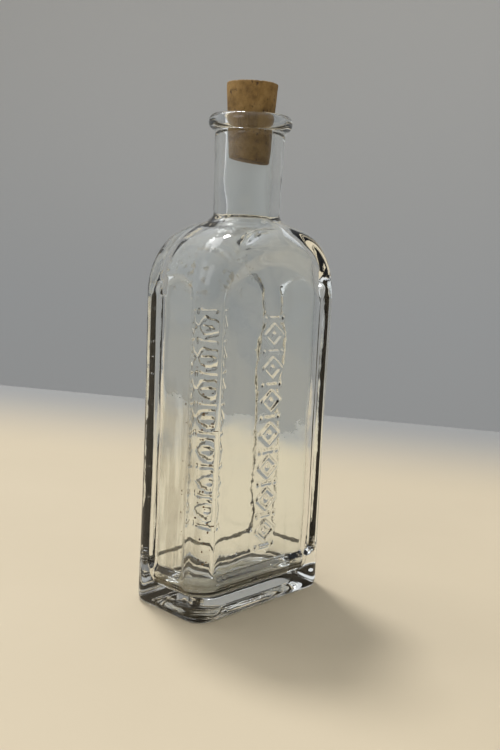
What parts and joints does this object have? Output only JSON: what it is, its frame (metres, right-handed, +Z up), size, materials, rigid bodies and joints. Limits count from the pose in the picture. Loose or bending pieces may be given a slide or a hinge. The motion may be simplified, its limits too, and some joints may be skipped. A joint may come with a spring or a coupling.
{
  "type": "bitters bottle",
  "caption": "Flat panelled glass bitters bottle with arched sunk panels, rounded shoulders, a straight neck with a rolled lip, and a removable tapered cork.",
  "frame": {"origin": "centre of the base, on the plane that the bottle stands on", "axes": "+Z up along the neck, broad arched panels facing -Y and +Y, narrow panels facing -X and +X"},
  "size_m": [0.067, 0.0364, 0.1881],
  "materials": {
    "clear_glass": "old clear glass, glossy, slightly wavy",
    "cork": "matt natural cork"
  },
  "bodies": {
    "bottle": {"bottle": "clear_glass"},
    "stopper": {"cork": "cork"}
  },
  "joints": [
    {"name": "cork_pull", "type": "slide", "parent": "bottle", "child": "stopper", "axis": [0, 0, 1], "range_m": [0, 0.03]}
  ]
}
